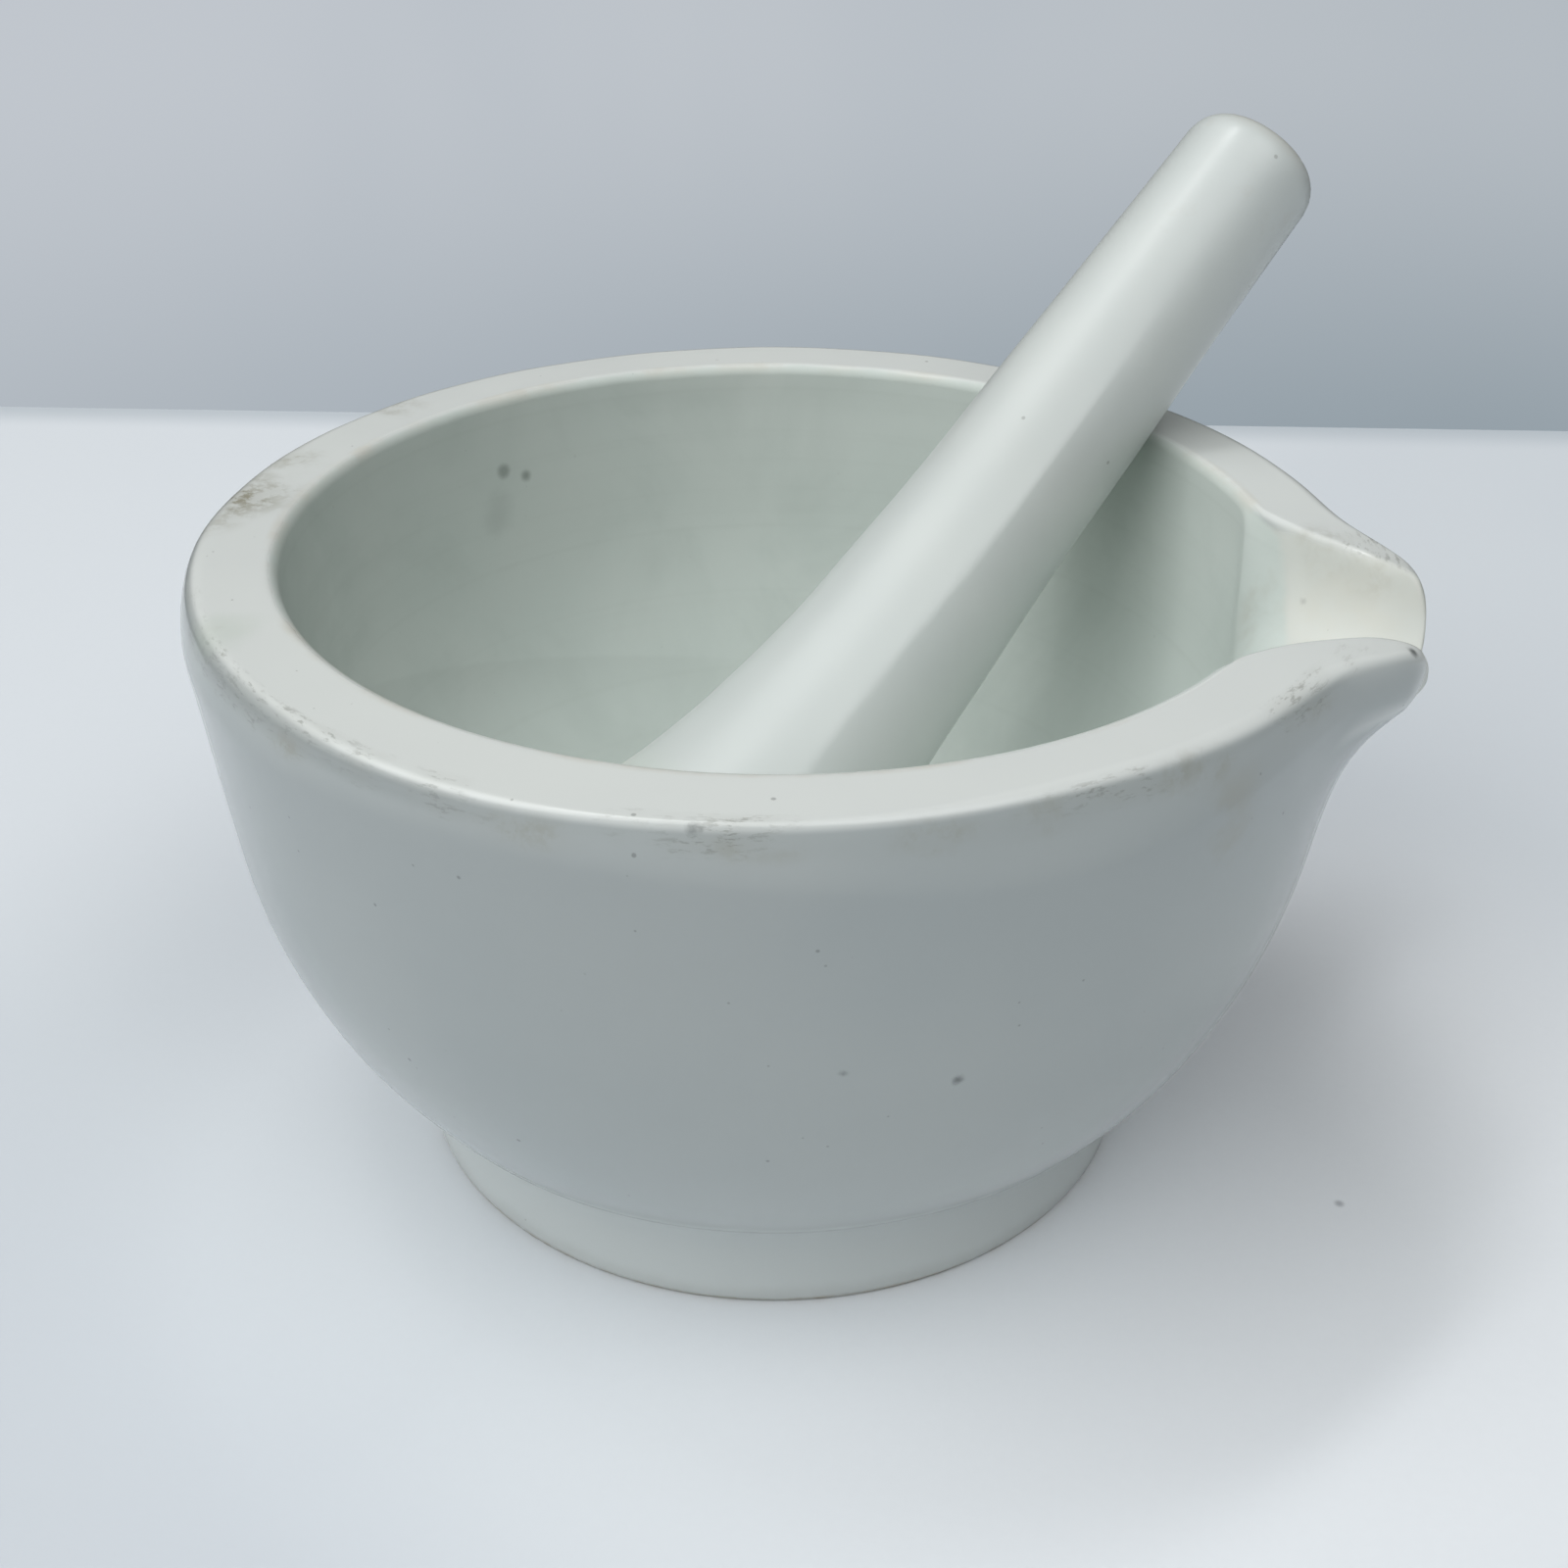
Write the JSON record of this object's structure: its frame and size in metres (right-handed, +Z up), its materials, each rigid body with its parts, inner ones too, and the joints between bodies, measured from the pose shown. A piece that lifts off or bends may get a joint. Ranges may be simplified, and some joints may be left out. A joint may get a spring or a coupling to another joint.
{
  "type": "mortar and pestle",
  "caption": "Footed porcelain mortar bowl with a pouring lip, and a round-headed pestle leaning in it, for grinding solids by hand.",
  "frame": {"origin": "centre of the mortar's foot, on the plane it stands on", "axes": "+Z up through the middle of the foot, +X towards the pouring lip"},
  "size_m": [0.1183, 0.1132, 0.0963],
  "materials": {
    "mortar_porcelain": "clear glaze over white porcelain outside and on the rim, bare grinding surface inside",
    "pestle_porcelain": "clear glaze over white porcelain on the handle, bare grinding head"
  },
  "bodies": {
    "mortar": {"mortar": "mortar_porcelain"},
    "pestle": {"pestle": "pestle_porcelain"}
  },
  "joints": [
    {"name": "lift", "type": "slide", "parent": "mortar", "child": "pestle", "axis": [0, 0, 1], "range_m": [0, 0.08]}
  ]
}
